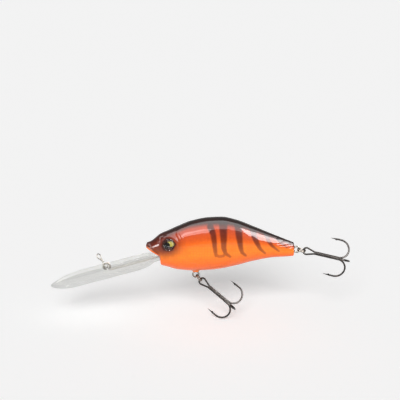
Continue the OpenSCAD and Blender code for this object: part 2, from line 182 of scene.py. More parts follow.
def aim(name, lamp, azimuth, height, away):
    """Places a light that faces the lure. Azimuth 0 is the camera's side."""
    stand = bpy.data.objects.new(name, lamp)
    a, h = math.radians(azimuth), math.radians(height)
    out = Vector((math.sin(a) * math.cos(h), -math.cos(a) * math.cos(h), math.sin(h)))
    stand.location = BODY_AT * MM + out * away
    stand.rotation_euler = out.to_track_quat("Z", "Y").to_euler()
    scene.collection.objects.link(stand)
    return stand


def reflection_card(name, azimuth, height, width, depth, radiance, roll=0):
    """A rectangular light that only draws its reflection in the gloss. Roll lifts its right end."""
    lamp = bpy.data.lights.new(name, "AREA")
    lamp.shape, lamp.size, lamp.size_y = "RECTANGLE", width, depth
    lamp.cycles.max_bounces = 1          # so no card brightens the table by way of the lure
    lamp.energy = radiance * math.pi * width * depth
    card = aim(name, lamp, azimuth, height, SOFTBOX_AWAY)
    rolled = card.rotation_euler.to_matrix() @ Matrix.Rotation(math.radians(roll), 3, "Z")
    card.rotation_euler = rolled.to_euler()
    card.visible_diffuse = False
    card.visible_transmission = False


reflection_card("softbox", -4, SOFTBOX_HEIGHT, 0.90, 0.60, 3.8, 9)
reflection_card("softbox's brighter lower edge", -25, 41, 0.28, 0.15, 6.0, 9)
reflection_card("side card", 57, 35, 0.17, 0.38, 15.0, -33)
reflection_card("small front card", -60, 9, 0.11, 0.11, 18.0)
key = bpy.data.lights.new("key", "SUN")
key.energy, key.angle = 2.75, math.radians(KEY_SPREAD)
sun = aim("key", key, KEY_TURN, KEY_HEIGHT, 1.0)
sun.visible_glossy = False
sun.visible_transmission = False
world = bpy.data.worlds.new("studio")
scene.world = world
world.use_nodes = True
world.node_tree.nodes["Background"].inputs["Color"].default_value = (0.20, 0.20, 0.20, 1)

# %% Table
TABLE_HALF, TABLE_GAP = 6.0, 0.6 * MM    # metres; the gap under the lowest hook point
table_finish, tree, main = finish_of("lit acrylic table", Base_Color=(0.9, 0.9, 0.9, 1),
                                     Roughness=0.6)
main.inputs["Emission Color"].default_value = (1, 1, 1, 1)
main.inputs["Emission Strength"].default_value = 0.32
main.inputs["Specular IOR Level"].default_value = 0.0
level = cad_low.z - TABLE_GAP
corners = [(x * TABLE_HALF, y * TABLE_HALF, level) for x, y in ((-1, -1), (1, -1), (1, 1), (-1, 1))]
table = piece_from("table", corners, [(0, 1, 2, 3)], table_finish)

# %% [markdown]
# ## The fish's form
# A lure body is designed from stations: at a few places along its length the maker draws how high
# the back is, how low the belly is and how wide the body is. Everything between is a fair curve.
# The belly steps down behind the jaw, where the lip comes out of the body.

# %% Stations and the curve through them
STATIONS = [  # x, back, belly, half width, in millimetres
    (-34.9, 0.4, -0.3, 0.6), (-34.2, 1.2, -1.5, 1.9), (-32.4, 2.0, -3.1, 3.2), (-29.8, 4.1, -4.7, 4.5),
    (-28.4, 5.3, -5.9, 5.1), (-27.9, 5.6, -9.5, 5.3), (-24.7, 7.0, -10.4, 6.4), (-19.9, 9.2, -11.7, 7.6),
    (-13.7, 11.7, -12.2, 8.5), (-5.0, 13.4, -11.9, 8.9), (0.7, 13.6, -11.2, 8.75), (8.0, 12.1, -9.6, 7.9),
    (15.2, 9.3, -7.7, 6.5), (24.8, 5.3, -5.9, 4.4), (34.9, 1.2, -5.3, 2.0),
]
NOSE, TAIL = STATIONS[0][0], STATIONS[-1][0]
FULLNESS = 0.9
WIDEST_DROP = 0.5


def fair(x, column):
    """The value of one column at x, on a smooth curve that never overshoots its stations."""
    last = len(STATIONS) - 1
    i = max(0, min(last - 1, sum(1 for s in STATIONS[1:] if s[0] <= x)))
    step = [(STATIONS[k + 1][column] - STATIONS[k][column]) / (STATIONS[k + 1][0] - STATIONS[k][0])
            for k in range(last)]

    def slope(k):
        if k in (0, last):
            return step[min(k, last - 1)]
        p, q = step[k - 1], step[k]
        return 0 if p * q <= 0 else 2 * p * q / (p + q)

    h = STATIONS[i + 1][0] - STATIONS[i][0]
    u = min(1, max(0, (x - STATIONS[i][0]) / h))
    here, there = STATIONS[i][column], STATIONS[i + 1][column]
    return (here * (1 + 2 * u) * (1 - u) ** 2 + there * u * u * (3 - 2 * u)
            + h * slope(i) * u * (1 - u) ** 2 - h * slope(i + 1) * u * u * (1 - u))


def section_point(x, turn, inset=0.0, shrink=1.0):
    """A point on the near side's section at x. turn is 0 at the back and pi at the belly."""
    back, belly = fair(x, 1) - inset, fair(x, 2) + inset
    wide = max(0.25, fair(x, 3) - inset)
    mid = (back + belly) / 2 - WIDEST_DROP
    high = (back - mid if math.cos(turn) > 0 else mid - belly) * shrink
    return Vector((x, -wide * shrink * abs(math.sin(turn)) ** FULLNESS, mid + high * math.cos(turn)))


print("widest section:", round(2 * max(fair(x / 2, 3) for x in range(-60, 60)), 1), "mm")

# %% [markdown]
# ## Relief moulded into the skin
# The steel mould has the fish's face cut into it: the mouth, the nostril, the brow over the eye, the
# gill cover, the breast fin and the rays of the tail. Each one is a small move of the skin along its
# normal, so it is real geometry and not only a painted line.

# %% Relief
EYE_AT = Vector((-24.0, 1.9))            # along and up, in the body's axes
EYE_RADIUS = 2.7


def smooth(low, high, value):
    """0 below low, 1 above high, and a soft step between them."""
    t = min(1, max(0, (value - low) / (high - low)))
    return t * t * (3 - 2 * t)


def near_line(p, line):
    """How far the flat point p is from a line of points, and how far along it, 0 to 1."""
    best = (1e9, 0.0)
    for k, (a, b) in enumerate(zip(line, line[1:])):
        a, b = Vector(a), Vector(b)
        t = min(1, max(0, (p - a).dot(b - a) / (b - a).length_squared))
        best = min(best, ((p - a - (b - a) * t).length, (k + t) / (len(line) - 1)))
    return best


MOUTH = [(-35.2, 0.6), (-33.4, -0.35), (-31.6, -1.45), (-30.4, -2.2), (-29.0, -3.1)]
GILL = [(-19.4, 7.0), (-17.6, 4.2), (-16.9, 1.0), (-17.3, -2.4), (-18.8, -5.6), (-21.2, -8.2)]
INNER_GILL = [(-20.9, 3.6), (-20.0, 1.0), (-20.3, -2.0), (-21.8, -4.6)]
FIN_RAYS = [[(-15.2, -2.6 - 0.9 * k), (-11.8, -2.9 - 1.15 * k), (-8.6 + 0.5 * k, -3.6 - 1.4 * k)]
            for k in range(4)]
NOSTRIL = Vector((-28.9, 2.5))


def relief(x, z):
    """How far the skin is moved outwards at this place on the flank, in millimetres."""
    p = Vector((x, z))
    move = 0.0
    if x < -15:
        far, along = near_line(p, MOUTH)
        move -= 0.42 * (1 - smooth(0.12, 0.55, far)) * (1 - 0.3 * along)
        move += 0.26 * math.exp(-((far - 0.8) / 0.3) ** 2) * (1 - 0.5 * along) * (x < -28.6)
        move -= 0.35 * (1 - smooth(0.1, 0.42, (p - NOSTRIL).length))
        far = near_line(p, GILL)[0]
        inside = smooth(-0.2, 0.9, (GILL[2][0] - x) + 0.072 * abs(z - 1) ** 1.25)
        move += 0.13 * (1 - smooth(0.15, 1.6, far)) * inside - 0.09 * (1 - smooth(0.05, 0.8, far))
        move -= 0.05 * (1 - smooth(0.08, 0.9, near_line(p, INNER_GILL)[0]))
        d = p - EYE_AT
        ring = Vector((d.x / 1.22 - 0.35, d.y)).length
        move += 0.15 * math.exp(-((ring - EYE_RADIUS - 0.75) / 0.45) ** 2) * (1.0 if d.y > -1 else 0.55)
    if -16.5 < x < -6.5:
        for ray in FIN_RAYS:
            far, along = near_line(p, ray)
            move += 0.16 * (1 - smooth(0.08, 0.5, far)) * math.sin(math.pi * min(1, along + 0.12)) ** 0.5
    if x > 25.5:
        fade = smooth(25.5, 28, x)
        move += 0.05 * fade * math.cos((z + 2.1) * 2 * math.pi / 1.05)
    return move


# %% [markdown]
# ## Airbrush stencils
# A lure like this is sprayed through stencils: orange first, a dark back, the tiger stripes, and a
# brown shade of paint round the eye. The stencil of that brown also holds a painted shade along the
# mouth groove. The stencils are stored on the skin as three attributes, and the paint finish mixes
# its colours with them.

# %% Stencils
STRIPES = [  # each: widths at its ends in millimetres, then the points of its middle line
    (3.0, 1.5, [(-4.6, 10.6), (-3.3, 7.7), (-2.7, 3.5), (-2.3, -0.2), (-1.9, -2.6)]),
    (4.1, 1.2, [(1.4, 13.0), (1.4, 9.0), (1.6, 5.0), (1.6, 1.4), (2.4, -1.4), (4.6, -3.3)]),
    (3.7, 1.1, [(8.4, 11.2), (8.6, 8.0), (9.1, 4.0), (9.6, 0.8), (10.2, -1.4), (11.9, -3.1)]),
    (3.1, 1.0, [(15.2, 9.0), (15.9, 5.8), (17.2, 2.6), (18.8, -0.2), (21.0, -2.5)]),
    (2.4, 0.8, [(21.4, 6.8), (22.4, 3.8), (24.2, 1.0), (27.6, -1.9)]),
    (1.8, 0.7, [(27.2, 3.8), (28.8, 1.8), (31.4, -0.4)]),
]
HOOP = [(-2.1, -1.4), (-1.7, -2.3), (-0.8, -2.9), (0.4, -3.0), (1.5, -2.6), (2.3, -1.8)]
EYE_SHADE = [(-27.5, 0.7), (-26.9, 3.2), (-24.9, 4.8), (-22.4, 4.5), (-21.0, 3.3), (-20.3, 2.4),
             (-21.2, 1.0), (-22.0, -0.5), (-24.2, -1.2), (-26.4, -0.8)]
CHEEK_AT = Vector((-26.9, 1.0))


def depth_share(x, z):
    """0 at the back and 1 at the belly."""
    return (fair(x, 1) - z) / max(0.5, fair(x, 1) - fair(x, 2))


def back_stencil(x, z):
    """The dark back: full near the ridge, feathered down the flank."""
    feather = 1.3 + 0.9 * math.exp(-(x / 11) ** 2)
    under = fair(x, 1) - z
    return (1 - smooth(feather - 0.8, feather + 1.1, under)) * (0.45 + 0.55 * smooth(-31, -21, x))


def stripe_stencil(x, z):
    """The tiger stripes, wide and dark at the back and drawn out to a paler flick near the belly."""
    p, cover = Vector((x, z)), 0.0
    for wide, thin, line in STRIPES:
        if abs(x - line[0][0]) > 14:
            continue
        far, along = near_line(p, line)
        half_width = (wide * (1 - along) + thin * along) / 2
        cover = max(cover, (1 - smooth(half_width - 0.40, half_width + 0.45, far)) * (1 - 0.42 * along))
    return max(cover, 0.5 * (1 - smooth(0.45, 1.05, near_line(p, HOOP)[0])))


def below_mouth(x, z):
    """1 on the lower jaw, ahead of the mouth's corner and under its line."""
    (x0, z0), (x1, z1) = MOUTH[0], MOUTH[-1]
    line = z0 + (x - x0) * (z1 - z0) / (x1 - x0)
    return smooth(0.2, 0.7, line - z) * (1 - smooth(-29.4, -27.6, x))


def cheek_paint_and_mouth_shade_stencil(x, z):
    """The brown paint round the eye and over the snout, and a painted shade along the mouth groove."""
    p = Vector((x, z)) - CHEEK_AT
    squashed = Vector((p.x * (0.50 if p.x > 0 else 0.3), p.y * (0.86 if p.y < 0 else 0.5)))
    shade = 1 - smooth(1.5, 6.3, squashed.length)
    # Painted shade: the sunken mouth line is darkened nearly fully along its length.
    far = near_line(Vector((x, z)), MOUTH)[0]
    return max(shade * (1 - below_mouth(x, z)), (1 - smooth(0.25, 0.6, far)) * 0.98)


def lid_stencil(x, z):
    """The dark lid: an almond round the eye with a point towards the tail."""
    ring = EYE_SHADE + EYE_SHADE[:1]
    far = near_line(Vector((x, z)), ring)[0]
    crossed = [x < (b[0] - a[0]) * (z - a[1]) / (b[1] - a[1]) + a[0]
               for a, b in zip(ring, ring[1:]) if (a[1] > z) != (b[1] > z)]
    inside = sum(crossed) % 2
    return 1 - smooth(-0.45, 0.45, -far if inside else far)


# %% [markdown]
# ## Skinning the shells
# Each half is a closed thin shell: an outer skin with the relief, an inner skin a wall's thickness
# behind it, and the joint face between them. The rows of points are closest together at the head,
# where the relief is finest. At both ends the rows shrink to a line, which closes the nose and the
# tail without a pole.

# %% Rows of the skin
WALL = 1.3
ROWS_ROUND = 84
HEAD_STEP, REST_STEP = 0.16, 0.34


def skin_rows():
    """(x, shrink) for each row from nose to tail."""
    rows = [(NOSE, 0.02), (NOSE + 0.03, 0.45), (NOSE + 0.1, 0.75), (NOSE + 0.22, 0.93)]
    x = NOSE + 0.36
    while x < TAIL - 0.5:
        rows.append((x, 1.0))
        x += HEAD_STEP if x < -15 else REST_STEP
    for k in range(1, 7):
        a = k * math.pi / 12
        rows.append((TAIL - 0.5 + 0.5 * math.sin(a), 1 - 0.2 * (1 - math.cos(a))))
    rows += [(TAIL, 0.5), (TAIL, 0.02)]
    return rows


def turn_at(j):
    return math.pi * j / ROWS_ROUND


ROWS = skin_rows()
RELIEF_FADE = 1.2                        # the relief dies out this near to the joint face
BOSS_AT, BOSS_RADIUS, BOSS_HIGH = -11.4, 1.75, 1.05


def boss(p):
    """The small boss under the belly that the hanger's legs come out of."""
    return BOSS_HIGH * (1 - smooth(BOSS_RADIUS - 0.5, BOSS_RADIUS + 0.5, math.hypot(p.x - BOSS_AT, p.y)))


def outer_grid():
    """The near side's outer skin, row by row, with the relief added along its normal."""
    plain = [[section_point(x, turn_at(j), 0, s) for j in range(ROWS_ROUND + 1)] for x, s in ROWS]
    grid = []
    for i, row in enumerate(plain):
        ahead, behind = plain[max(0, i - 1)], plain[min(len(plain) - 1, i + 1)]
        line = []
        for j, p in enumerate(row):
            q = p.copy()
            on_joint = j in (0, ROWS_ROUND) or i in (0, len(plain) - 1)
            if not on_joint and ROWS[i][1] == 1.0:
                along = behind[j] - ahead[j]
                normal = (row[j + 1] - row[j - 1]).cross(along)
                if normal.length > 0:
                    edge = min(1, -p.y / RELIEF_FADE)
                    q += normal.normalized() * relief(p.x, p.z) * edge * (1 if normal.y < 0 else -1)
            if on_joint:
                q.y = 0
            if p.z < 0:
                q.z -= boss(p)
            line.append(q)
        grid.append(line)
    return grid


def inner_grid():
    """The inner skin, a wall's thickness behind the outer one."""
    squeeze = (BODY_LENGTH - 2 * WALL) / BODY_LENGTH
    return [[Vector((p.x, 0 if j in (0, ROWS_ROUND) or s < 0.03 else p.y, p.z))
             for j in range(ROWS_ROUND + 1)
             for p in [section_point(x * squeeze, turn_at(j), WALL, s)]] for x, s in ROWS]


outer = outer_grid()
inner = inner_grid()
print(len(outer), "rows of", ROWS_ROUND + 1, "points")

# %% Build both halves


def shell(name, side, material):
    """One half. side is -1 for the left half and 1 for the right."""
    count = ROWS_ROUND + 1
    points, faces = [], []
    for grid in (outer, inner):
        points += [in_frame(p.x, p.y * -side, p.z) for row in grid for p in row]
    base = len(outer) * count
    for start in (0, base):
        faces += [(start + i * count + j, start + i * count + j + 1,
                   start + (i + 1) * count + j + 1, start + (i + 1) * count + j)
                  for i in range(len(outer) - 1) for j in range(ROWS_ROUND)]
    rim = ([i * count for i in range(len(outer))]
           + [(len(outer) - 1) * count + j for j in range(1, count)]
           + [i * count + ROWS_ROUND for i in range(len(outer) - 2, -1, -1)]
           + [j for j in range(ROWS_ROUND - 1, 0, -1)])
    faces += [(a, b, b + base, a + base) for a, b in zip(rim, rim[1:] + rim[:1])]
    made = piece_from(name, points, faces, material)
    stencils = {"depth": depth_share, "back": back_stencil, "stripe": stripe_stencil,
                "cheek_paint_and_mouth_shade": cheek_paint_and_mouth_shade_stencil, "lid": lid_stencil}
    for title, stencil in stencils.items():
        values = [stencil(p.x, p.z) for row in outer for p in row] + [0.0] * (len(inner) * count)
        made.data.attributes.new(title, "FLOAT", "POINT").data.foreach_set("value", values)
    return made


# %% [markdown]
# ## Body paint
# The shells are injection-moulded ABS, sprayed with lacquers and dipped in a clear top coat. The
# pigment is soft and even, and all the shine comes from the coat, so the shader has a rough base
# with a clear coat over it. A faint scale pattern was moulded under the paint: its cells are 1.3 mm
# across, and their bump shows where a light grazes them. The grooves between the cells also get a
# painted shade: they are coloured a darker brown-orange in every light.

# %% Paint
SPECKLES = 0.42                          # in a millimetre, along a sprayed edge
paint, tree, main = finish_of("airbrushed lacquer under clear coat", Roughness=0.42,
                              Coat_Weight=1.0, Coat_Roughness=0.03, Coat_IOR=1.42,
                              Specular_IOR_Level=0.12)
place = add(tree, "ShaderNodeTexCoord").outputs["Object"]
mottle = add(tree, "ShaderNodeTexNoise", {"Vector": place}, noise_dimensions="3D")
mottle.inputs["Scale"].default_value = SPECKLES / MM
mottle.inputs["Detail"].default_value = 3


def mask(name, strength=1.0, ragged=0.0):
    """One stencil, with its edge a little ragged, as a sprayed edge is."""
    value = add(tree, "ShaderNodeAttribute", attribute_name=name).outputs["Fac"]
    if ragged:
        shift = add(tree, "ShaderNodeMath", {0: mottle.outputs["Fac"]}, operation="SUBTRACT",
                    _1=0.5).outputs[0]
        value = add(tree, "ShaderNodeMath", {0: shift, 2: value}, operation="MULTIPLY_ADD",
                    _1=ragged).outputs[0]
    return add(tree, "ShaderNodeMath", {0: value}, operation="MULTIPLY", _1=strength,
               use_clamp=True).outputs[0]


def spray(under, colour, stencil):
    """A coat of this colour over the one before, through a stencil."""
    made = add(tree, "ShaderNodeMix", {0: stencil, 6: under}, data_type="RGBA")
    if isinstance(colour, str):
        made.inputs[7].default_value = linear(colour)
    else:
        tree.links.new(colour, made.inputs[7])
    return made.outputs[2]


down = add(tree, "ShaderNodeAttribute", attribute_name="depth").outputs["Fac"]
coat = ramp(tree, down, (0.0, "#842c14"), (0.12, "#c04218"), (0.22, "#cf4d18"), (0.31, "#da5818"),
            (0.39, "#f06c1a"), (0.47, "#fb7c16"), (0.62, "#fc8014"), (0.80, "#f86e10"),
            (0.92, "#f2640e"), (1.0, "#fc7c22"))
SCALE_SIZE = 1.3 * MM
cells = add(tree, "ShaderNodeTexVoronoi", {"Vector": place}, feature="DISTANCE_TO_EDGE")
cells.inputs["Scale"].default_value = 1 / SCALE_SIZE
cells.inputs["Randomness"].default_value = 0.35
edges = add(tree, "ShaderNodeMapRange", {0: cells.outputs["Distance"]}, _1=0.0, _2=0.16)
bump = add(tree, "ShaderNodeBump", {"Height": edges.outputs[0]})
bump.inputs["Strength"].default_value = 0.22
bump.inputs["Distance"].default_value = 0.06 * MM
scale_groove_shade = add(tree, "ShaderNodeMapRange", {0: edges.outputs[0]}, _1=0.0, _2=1.0, _3=0.16, _4=0.0)
# Painted shade: the grooves between the scale cells are darkened to this brown-orange.
coat = spray(coat, "#a8380c", scale_groove_shade.outputs[0])
# The brown paint round the eye and snout, with the painted shade of the mouth groove in the same stencil.
coat = spray(coat, "#5e1a0a", mask("cheek_paint_and_mouth_shade", 0.92, 0.10))
coat = spray(coat, "#4a0e02", mask("stripe", 0.97, 0.16))
coat = spray(coat, "#241512", mask("back", 0.96, 0.14))
coat = spray(coat, "#36130a", mask("lid", 0.94))
tree.links.new(coat, main.inputs["Base Color"])
tree.links.new(bump.outputs[0], main.inputs["Normal"])

# %% [markdown]
# ## Eye sockets
# Each shell is moulded with a round socket that the eye is glued into. A cylinder is cut out of the
# skin here, because the socket has a flat floor and a sharp rim. Its wall takes the lid's dark colour.

# %% Cut the eye sockets
EYE_DEPTH = 1.0
SOCKET_GAP = 0.06                        # all round the eye, in millimetres
EYE_CENTRE = Vector((EYE_AT.x, 5.75, EYE_AT.y))
EYE_YAW, EYE_TILT = 14, 17               # degrees: towards the nose and towards the back


def eye_axes(side):
    """The eye socket's own axes: its z points out of the head."""
    turn = Matrix.Rotation(math.radians(side * EYE_YAW), 4, "Z") @ Matrix.Rotation(
        math.radians(side * (-90 + EYE_TILT)), 4, "X")
    centre = in_frame(EYE_CENTRE.x, side * EYE_CENTRE.y, EYE_CENTRE.z)
    return Matrix.Translation(centre) @ turn


def ring_points(radius, z, count):
    turns = [2 * math.pi * k / count for k in range(count)]
    return [Vector((radius * math.cos(a), radius * math.sin(a), z)) * MM for a in turns]


def strip(rows, count):
    """The faces between rings of points that follow each other, each ring with the same count."""
    return [(i * count + k, i * count + (k + 1) % count,
             (i + 1) * count + (k + 1) % count, (i + 1) * count + k)
            for i in range(rows - 1) for k in range(count)]


def turned(name, profile, stand, material, count=64):
    """A round piece from (radius, height) pairs in millimetres, closed at both ends."""
    points = [stand @ p for r, z in profile for p in ring_points(r, z, count)]
    faces = strip(len(profile), count)
    faces += [tuple(range(count)), tuple((len(profile) - 1) * count + k for k in range(count))]
    return piece_from(name, points, faces, material)


for side, half_name in ((-1, "left"), (1, "right")):
    made = shell(f"{half_name}_painted_shell", side, paint)
    bore = EYE_RADIUS + SOCKET_GAP
    cutter = turned("socket cutter", [(bore, -EYE_DEPTH), (bore, 3.0)], eye_axes(side), paint)
    cut = made.modifiers.new("socket", "BOOLEAN")
    cut.operation, cut.object, cut.solver = "DIFFERENCE", cutter, "EXACT"
    carved = bpy.data.meshes.new_from_object(made.evaluated_get(bpy.context.evaluated_depsgraph_get()))
    into_socket, lid = eye_axes(side).inverted(), carved.attributes["lid"].data
    for k, v in enumerate(carved.vertices):
        p = into_socket @ v.co / MM
        if math.hypot(p.x, p.y) < EYE_RADIUS + 0.2 and abs(p.z) < 2.5:
            lid[k].value = 1.0
    made.modifiers.clear()
    made.data = carved
    bpy.data.objects.remove(cutter)
    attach(made, "lure_body")
    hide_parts(f"{half_name}_body_shell")
    print(made.name, len(made.data.polygons), "faces")

# %% [markdown]
# ## Diving lip
# The lip is moulded from clear polycarbonate and set into the nose between the two halves. It is
# long, so the lure dives deep. Polycarbonate bends light more than glass, so its rounded rim shows
# as bright lines. A low rib along the middle of the top face stiffens it.

# %% Lip plan
LIP_ROOT = Vector((-29.2, 0, -5.9))
LIP_PITCH = math.radians(15.7)
LIP_LENGTH, LIP_WIDTH, LIP_THICK = 53.2, 20.2, 2.0
TIP_LENGTH, ROOT_HALF, SHOULDER_START, SHOULDER_LENGTH = 15.0, 4.0, 10.0, 8.0
TONGUE_LENGTH = 6.0


def lip_half_plan():
    """(x, half width) from the tip to the end of the tongue."""
    plan = []
    for i in range(41):
        d = TIP_LENGTH * (1 - math.cos(math.radians(i * 2.25)))
        plan.append((-LIP_LENGTH + d, LIP_WIDTH / 2 * (1 - (1 - d / TIP_LENGTH) ** 2) ** 0.75))
    start = -LIP_LENGTH + TIP_LENGTH
    plan += [(start + (-SHOULDER_START - start) * k / 30, LIP_WIDTH / 2) for k in range(1, 30)]
    for i in range(25):
        a = math.radians(i * 3.75)
        plan.append((-SHOULDER_START + SHOULDER_LENGTH * math.sin(a),
                     ROOT_HALF + (LIP_WIDTH / 2 - ROOT_HALF) * math.cos(a)))
    plan += [(-1, ROOT_HALF), (0, ROOT_HALF - 0.1), (0.8, 3.5), (1.6, 3.4), (3, 3.4), (3.6, 3.7),
             (4.2, 4.2), (5, 4.35), (5.7, 4.2), (TONGUE_LENGTH, 3.8)]
    return plan


def lip_point(x, y, z):
    """A point on the lip's own axes, as a point in the frame."""
    c, s = math.cos(LIP_PITCH), math.sin(LIP_PITCH)
    return in_frame(LIP_ROOT.x + x * c - z * s, y, LIP_ROOT.z + x * s + z * c)


def plan_inwards(plan, i):
    """The inward direction of the plan's edge at one of its points."""
    a, b = plan[max(0, i - 1)], plan[min(len(plan) - 1, i + 1)]
    along = Vector((b[0] - a[0], b[1] - a[1])).normalized()
    return Vector((1, 0)) if i == 0 else Vector((along.y, -along.x))


# Each step of the rounded rim: its inset in millimetres and its share of the half thickness.
RIM = [(0.62, 1.0), (0.36, 0.93), (0.16, 0.78), (0.04, 0.52), (0.0, 0.2)]
CAP_COLUMNS = 28


RIB_HIGH, RIB_HALF_WIDTH = 0.16, 0.75


def rib(x, y):
    """The height of the rib along the middle of the top face, which fades out at both ends."""
    along = smooth(-50, -44, x) * (1 - smooth(-8, -4, x))
    return RIB_HIGH * along * math.exp(-(y / RIB_HALF_WIDTH) ** 2)


def lip_points():
    plan = lip_half_plan()
    rows = []
    for i, (x, y) in enumerate(plan):
        inward = plan_inwards(plan, i)
        thin = 1 - 0.22 * (1 - smooth(-LIP_LENGTH, -LIP_LENGTH + 12, x))
        half_thick = LIP_THICK / 2 * thin
        edge = [(x + inward.x * d, max(0, y + inward.y * d), half_thick * h) for d, h in RIM]
        ring = []
        xi, yi, zi = edge[0]
        for k in range(CAP_COLUMNS + 1):
            f = math.cos(math.pi * k / CAP_COLUMNS)
            ring.append((xi, yi * f, zi + rib(xi, yi * f)))
        ring += [(ex, -ey, ez) for ex, ey, ez in edge[1:]]
        ring += [(ex, -ey, -ez) for ex, ey, ez in reversed(edge)]
        ring += [(xi, -yi * math.cos(math.pi * k / CAP_COLUMNS), -zi) for k in range(1, CAP_COLUMNS)]
        ring += [(ex, ey, -ez) for ex, ey, ez in edge]
        ring += [(ex, ey, ez) for ex, ey, ez in reversed(edge[1:])]
        rows.append(ring)
    return rows


# %% Clear lip
clear, tree, main = finish_of("clear polycarbonate, polished mould", Base_Color=linear("#f4f6ec"),
                              Roughness=0.03, Transmission_Weight=1.0, IOR=1.585, Alpha=0.4)
lip_rows = lip_points()
per = len(lip_rows[0])
lip_faces = strip(len(lip_rows), per)
lip_faces.append(tuple(range((len(lip_rows) - 1) * per, len(lip_rows) * per)))
lip = piece_from("clear_lip", [lip_point(*p) for ring in lip_rows for p in ring], lip_faces, clear)


def weld(piece, reach=0.002 * MM):
    """Joins points that lie on each other and drops the faces that close up."""
    form = bmesh.new()
    form.from_mesh(piece.data)
    bmesh.ops.remove_doubles(form, verts=form.verts, dist=reach)
    bmesh.ops.dissolve_degenerate(form, edges=form.edges, dist=reach)
    bmesh.ops.recalc_face_normals(form, faces=form.faces)
    form.to_mesh(piece.data)
    form.free()


weld(lip)
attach(lip, "lure_body")
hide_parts("diving_lip")
print("lip:", len(lip.data.polygons), "faces")

# %% [markdown]
# ## Wire rule
# Line tie, hangers, snap, rings and hooks are all made the same way: a drawn wire is cut, bent
# round pins and finished. One rule serves them all. It takes a line of points, sweeps a round
# section along it, and raises a barb where the line says so. The thickness at each point and the
# barb's direction are stored on the line as attributes.

# %% The Geometry Nodes tree for a bent wire
WIRE_SIDES = 20


def wire_rule():
    tree = bpy.data.node_groups.new("bent wire", "GeometryNodeTree")
    tree.is_modifier = True
    face = tree.interface
    face.new_socket("Line", in_out="INPUT", socket_type="NodeSocketGeometry")
    sides = face.new_socket("Sides", in_out="INPUT", socket_type="NodeSocketInt")
    finish = face.new_socket("Finish", in_out="INPUT", socket_type="NodeSocketMaterial")
    face.new_socket("Wire", in_out="OUTPUT", socket_type="NodeSocketGeometry")
    start = add(tree, "NodeGroupInput")
    line = add(tree, "GeometryNodeMeshToCurve", {"Mesh": start.outputs["Line"]})
    thick = add(tree, "GeometryNodeInputNamedAttribute", data_type="FLOAT", _0="thickness")
    circle = add(tree, "GeometryNodeCurvePrimitiveCircle", {"Resolution": start.outputs["Sides"]})
    circle.inputs["Radius"].default_value = 1.0
    swept = add(tree, "GeometryNodeCurveToMesh",
                {"Curve": line.outputs[0], "Profile Curve": circle.outputs[0],
                 "Scale": thick.outputs["Attribute"]})
    swept.inputs["Fill Caps"].default_value = True
    way = add(tree, "GeometryNodeInputNamedAttribute", data_type="FLOAT_VECTOR", _0="barb")
    normal = add(tree, "GeometryNodeInputNormal")
    faces = add(tree, "ShaderNodeVectorMath", {0: way.outputs["Attribute"], 1: normal.outputs[0]},
                operation="DOT_PRODUCT")
    length = add(tree, "ShaderNodeVectorMath", {0: way.outputs["Attribute"]}, operation="LENGTH")
    at_least = add(tree, "ShaderNodeMath", {0: length.outputs["Value"]}, operation="MAXIMUM",
                   _1=1e-9)
    share = add(tree, "ShaderNodeMath", {0: faces.outputs["Value"], 1: at_least.outputs[0]},
                operation="DIVIDE")
    share = add(tree, "ShaderNodeMath", {0: share.outputs[0]}, operation="MAXIMUM", _1=0.0)
    share = add(tree, "ShaderNodeMath", {0: share.outputs[0]}, operation="POWER", _1=3.0)
    lift = add(tree, "ShaderNodeVectorMath",
               {0: way.outputs["Attribute"], "Scale": share.outputs[0]}, operation="SCALE")
    barbed = add(tree, "GeometryNodeSetPosition",
                 {"Geometry": swept.outputs[0], "Offset": lift.outputs[0]})
    rounded = add(tree, "GeometryNodeSetShadeSmooth", {0: barbed.outputs[0]})
    real = add(tree, "GeometryNodeRealizeInstances", {0: rounded.outputs[0]})
    dressed = add(tree, "GeometryNodeSetMaterial",
                  {0: real.outputs[0], "Material": start.outputs["Finish"]})
    add(tree, "NodeGroupOutput", {0: dressed.outputs[0]})
    return tree, sides.identifier, finish.identifier


WIRE_RULE, SIDES_INPUT, FINISH_INPUT = wire_rule()


def bent_wire(name, lines, material, sides=WIRE_SIDES):
    """One or more wires. Each line is a list of (point, thickness, barb), in body axes and mm."""
    mesh = bpy.data.meshes.new(name)
    points, edges = [], []
    for line in lines:
        edges += [(len(points) + k, len(points) + k + 1) for k in range(len(line) - 1)]
        points += line
    mesh.from_pydata([tuple(in_frame(*p[0])) for p in points], edges, [])
    thickness = [p[1] / 2 * MM for p in points]
    mesh.attributes.new("thickness", "FLOAT", "POINT").data.foreach_set("value", thickness)
    barbs = [c * MM for p in points for c in (p[2] if len(p) > 2 else (0, 0, 0))]
    mesh.attributes.new("barb", "FLOAT_VECTOR", "POINT").data.foreach_set("vector", barbs)
    made = bpy.data.objects.new(name, mesh)
    scene.collection.objects.link(made)
    rule = made.modifiers.new("bent wire", "NODES")
    rule.node_group = WIRE_RULE
    rule[SIDES_INPUT] = sides
    rule[FINISH_INPUT] = material
    swept = bpy.data.meshes.new_from_object(made.evaluated_get(bpy.context.evaluated_depsgraph_get()))
    made.modifiers.clear()
    made.data = swept
    if not swept.materials:
        swept.materials.append(material)
    form = bmesh.new()
    form.from_mesh(swept)
    bmesh.ops.recalc_face_normals(form, faces=form.faces)
    form.to_mesh(swept)
    form.free()
    return made


def arc(centre, ex, ey, radius, a0, a1, count):
    """Points round part of a circle in the plane of two unit vectors."""
    turns = [math.radians(a0 + (a1 - a0) * i / count) for i in range(count + 1)]
    return [centre + radius * (math.cos(a) * ex + math.sin(a) * ey) for a in turns]


